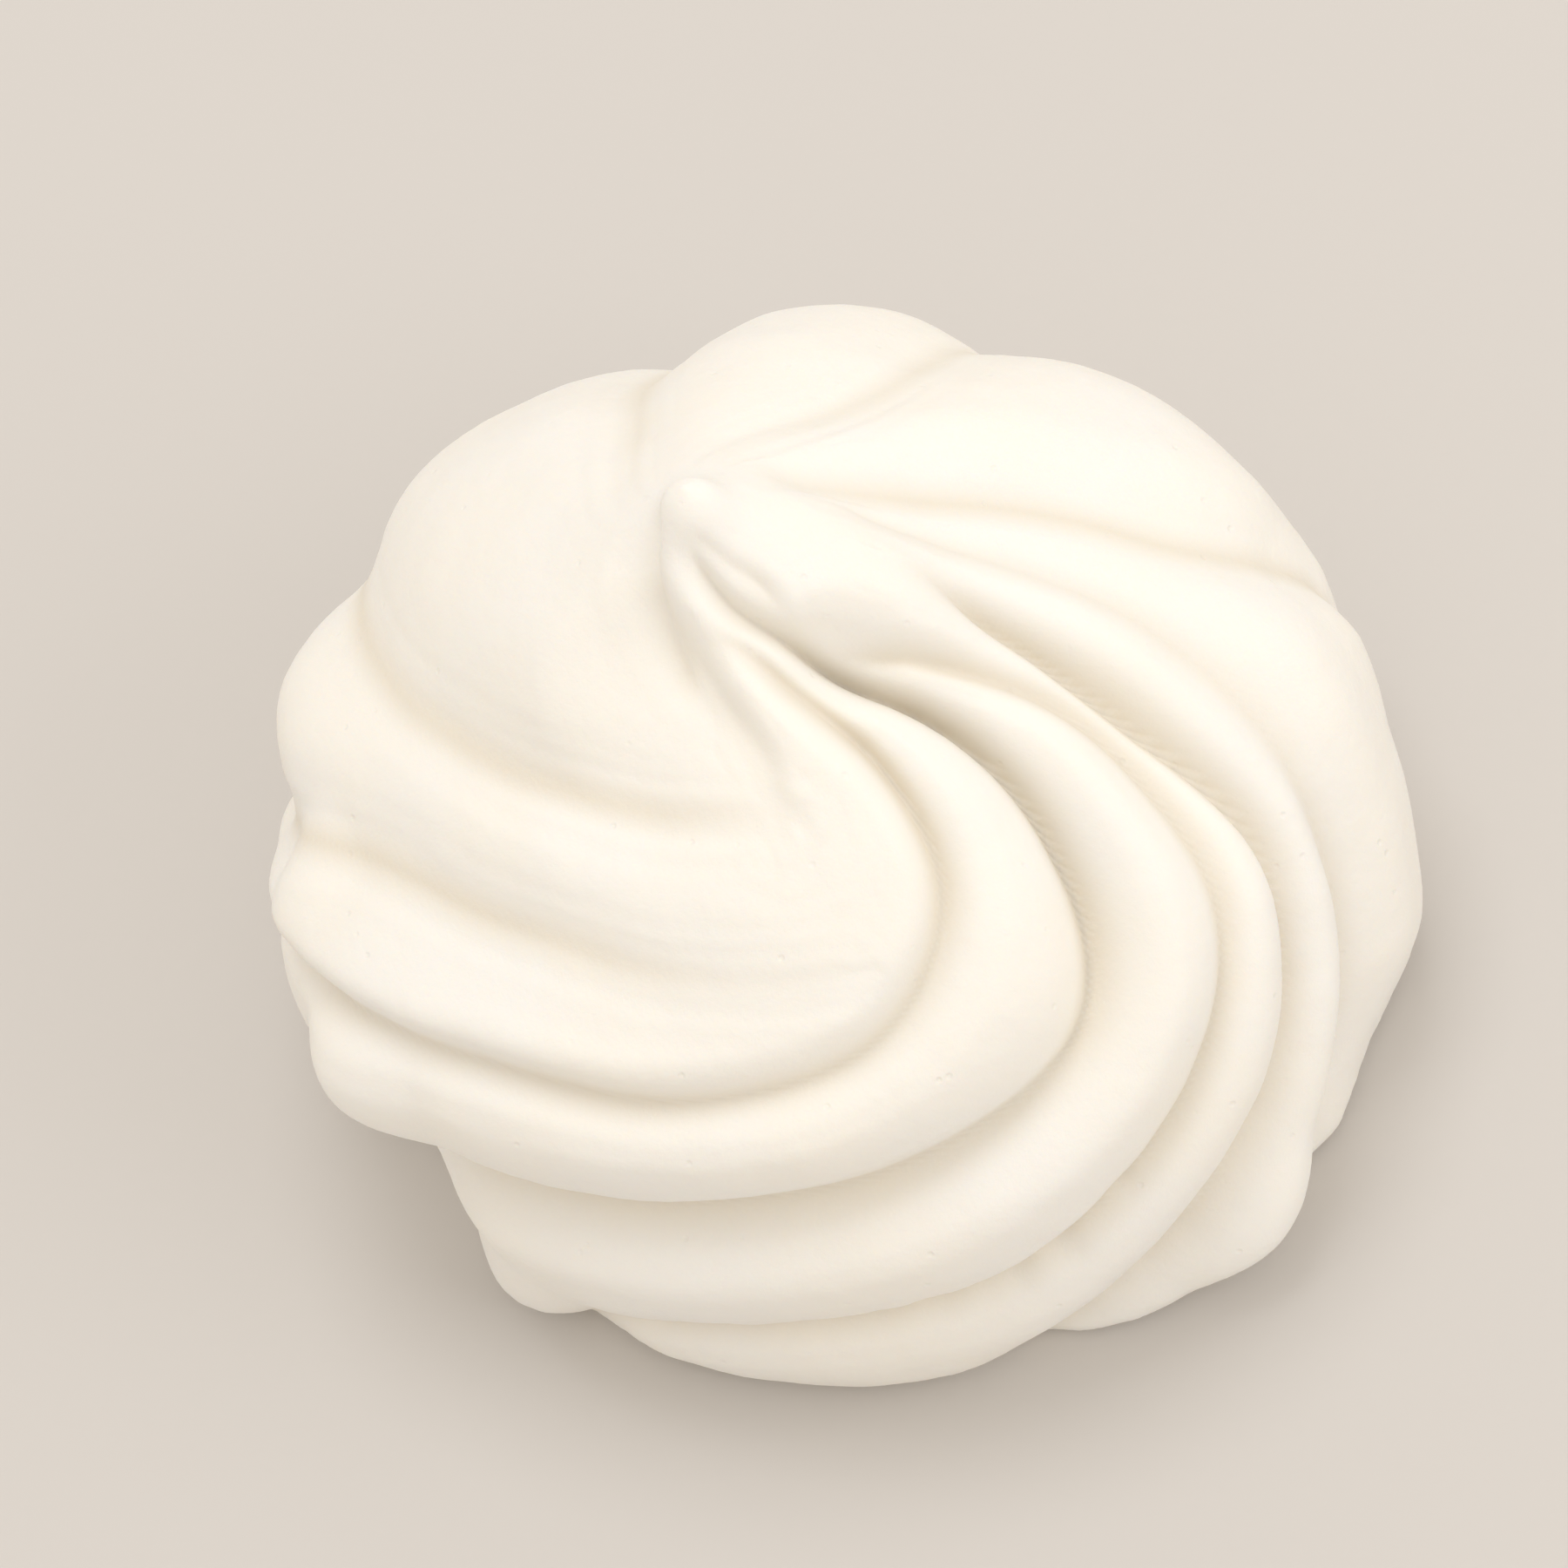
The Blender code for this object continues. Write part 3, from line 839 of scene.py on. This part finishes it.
    def wrinkles(self, marks: Marks, smooth: np.ndarray) -> np.ndarray:
        """Small broken wrinkles in the furrows low on the side, where the foam dragged on itself."""
        fade = smooth_step(1.0 - marks.nearest / self.wrinkle_reach)
        low = smooth_step((self.wrinkle_top - smooth[:, 2]) / self.wrinkle_top)
        broken = np.maximum(self.wrinkle.at(smooth) + self.wrinkle_share, 0.0)
        return self.wrinkle_depth * broken * fade * low

    def underside_points(
        self, turn: np.ndarray, inward: np.ndarray, rim: np.ndarray, rim_turn: np.ndarray
    ) -> np.ndarray:
        """Shape the flat, slightly hollow underside.

        Args:
            turn: each point's turn round the axis, in radians.
            inward: its distance from the axis as a share of the foot's radius.
            rim: the finished rim, in the order of its turns.
            rim_turn: the rim's turns, rising.

        Returns:
            The points.
        """
        wrapped_turn = np.concatenate([rim_turn[-1:] - 2.0 * pi, rim_turn, rim_turn[:1] + 2.0 * pi])
        wrapped_rim = np.vstack([rim[-1:], rim, rim[:1]])
        edge = np.column_stack([np.interp(turn, wrapped_turn, column) for column in wrapped_rim.T])
        points = edge * inward[:, None]
        grain = sum(layer.at(points) for layer in self.dome_grain)
        middle = smooth_step((1.0 - inward) / self.dome_edge)
        points[:, 2] = edge[:, 2] * inward + middle * (self.dome_height + self.dome_grain_height * grain)
        points[:, 2] = np.maximum(points[:, 2], 0.0)
        return points

    def ease_creases(self, crust: bpy.types.Object) -> None:
        """Smooth the points in the creases a little, so that the bottoms of the furrows run even."""
        bpy.ops.object.mode_set(mode="EDIT")
        bpy.ops.mesh.select_mode(type="VERT")
        bpy.ops.mesh.select_all(action="DESELECT")
        mesh = bmesh.from_edit_mesh(crust.data)
        crease = mesh.verts.layers.float[Note.CREASE.value]
        for vert in mesh.verts:
            vert.select = vert[crease] > self.eased_crease and vert.co.z > self.eased_above
        bmesh.update_edit_mesh(crust.data)
        bpy.ops.mesh.vertices_smooth(factor=self.ease, repeat=self.easing)
        bpy.ops.object.mode_set(mode="OBJECT")

    def note(self, mesh: bpy.types.Mesh, name: Note, values: np.ndarray) -> None:
        """Keep a value for each vertex under a name that the finish reads."""
        attribute = mesh.attributes.new(name.value, "FLOAT", "POINT")
        attribute.data.foreach_set("value", values.astype(np.float32))

    def dress(self, crust: bpy.types.Object) -> None:
        """Smooth the shading, give the finish, and tie the piece to the frame."""
        bpy.ops.object.select_all(action="DESELECT")
        crust.select_set(True)
        bpy.context.view_layer.objects.active = crust
        bpy.ops.object.shade_smooth()
        crust.data.materials.clear()
        crust.data.materials.append(BakedCrust().build())
        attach(crust, "root")
        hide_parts(NODE)


@dataclass(frozen=True)
class Lamp:
    """One soft lamp, placed by the way to it in the camera's own right, up and toward directions."""

    name: str
    way: tuple[float, float, float]
    size: float
    power: float
    colour: tuple[float, float, float]
    distance: float = 0.6
    shape: LampShape = LampShape.ROUND


@dataclass
class Studio:
    """The plain pale floor, the soft light and the camera."""

    elevation: float = 60.0
    roll: float = 24.2
    distance: float = 0.45
    frame_width: float = 0.0620
    aim: tuple[float, float, float] = (-0.0008, 0.0016, 0.0125)
    sensor: float = 36.0
    nearest: float = 0.01
    floor_size: float = 1.6
    floor_roughness: float = 0.85
    floor_colour: Colour = (0.63, 0.602, 0.575, 1.0)
    ambient: Colour = (1.0, 0.94, 0.86, 1.0)
    ambient_strength: float = 0.897
    lamps: tuple[Lamp, ...] = (
        Lamp("key_lamp", (-0.25, 0.80, 0.85), 0.30, 0.86, (0.95, 0.97, 1.0)),
        Lamp("fill_lamp", (0.90, 0.15, 0.85), 0.40, 0.60, (0.95, 0.97, 1.0), shape=LampShape.SQUARE),
    )

    def axes(self) -> tuple[Vector, Vector, Vector]:
        """The camera's right, up and toward directions."""
        lift = radians(self.elevation)
        turn = radians(self.roll)
        rise = Vector((0.0, sin(lift), cos(lift)))
        toward = Vector((0.0, -cos(lift), sin(lift)))
        right = Vector((1.0, 0.0, 0.0)) * cos(turn) - rise * sin(turn)
        up = Vector((1.0, 0.0, 0.0)) * sin(turn) + rise * cos(turn)
        return right, up, toward

    def build(self) -> None:
        """Make the floor, the lamps, the surroundings and the camera."""
        self.build_floor()
        for lamp in self.lamps:
            self.build_lamp(lamp)
        self.build_surroundings()
        self.build_camera()
        bpy.context.scene.view_settings.view_transform = "Standard"

    def build_floor(self) -> None:
        """Lay the floor under the cookie."""
        bpy.ops.object.select_all(action="DESELECT")
        bpy.ops.mesh.primitive_plane_add(size=self.floor_size, location=(0.0, 0.0, 0.0))
        floor = bpy.context.object
        floor.name = "pale_floor"
        nodes = Nodes("pale_floor")
        nodes.shader.inputs["Base Color"].default_value = self.floor_colour
        nodes.shader.inputs["Roughness"].default_value = self.floor_roughness
        floor.data.materials.append(nodes.material)

    def build_lamp(self, lamp: Lamp) -> None:
        """Hang one soft lamp, turned to the cookie."""
        light = bpy.data.lights.new(lamp.name, "AREA")
        light.shape = lamp.shape.value
        light.size = lamp.size
        light.energy = lamp.power
        light.color = lamp.colour
        holder = bpy.data.objects.new(lamp.name, light)
        bpy.context.scene.collection.objects.link(holder)
        way = sum((axis * part for axis, part in zip(self.axes(), lamp.way)), Vector()).normalized()
        holder.location = Vector(self.aim) + way * lamp.distance
        holder.rotation_euler = way.to_track_quat("Z", "Y").to_euler()

    def build_surroundings(self) -> None:
        """Give the even light of a pale room."""
        world = bpy.data.worlds.new("pale_room")
        world.use_nodes = True
        background = world.node_tree.nodes["Background"]
        background.inputs["Color"].default_value = self.ambient
        background.inputs["Strength"].default_value = self.ambient_strength
        bpy.context.scene.world = world

    def build_camera(self) -> None:
        """Set up the camera, steeply above the front and a little rolled."""
        data = bpy.data.cameras.new("camera")
        data.sensor_width = self.sensor
        data.lens = self.sensor * self.distance / self.frame_width
        data.clip_start = self.nearest
        camera = bpy.data.objects.new("camera", data)
        bpy.context.scene.collection.objects.link(camera)
        right, up, toward = self.axes()
        place = Vector(self.aim) + toward * self.distance
        turned = Matrix((right, up, toward)).transposed().to_4x4()
        camera.matrix_world = Matrix.Translation(place) @ turned
        bpy.context.scene.camera = camera


def main() -> None:
    """Build the cookie and its studio, and report each."""
    logging.basicConfig(level=logging.INFO, format="%(name)s: %(message)s")
    crust = MeringueCrust().build()
    log.info("%s: %d vertices", crust.name, len(crust.data.vertices))
    studio = Studio()
    studio.build()
    log.info("studio: %d lamps, floor and camera", len(studio.lamps))


if __name__ == "__main__":
    main()
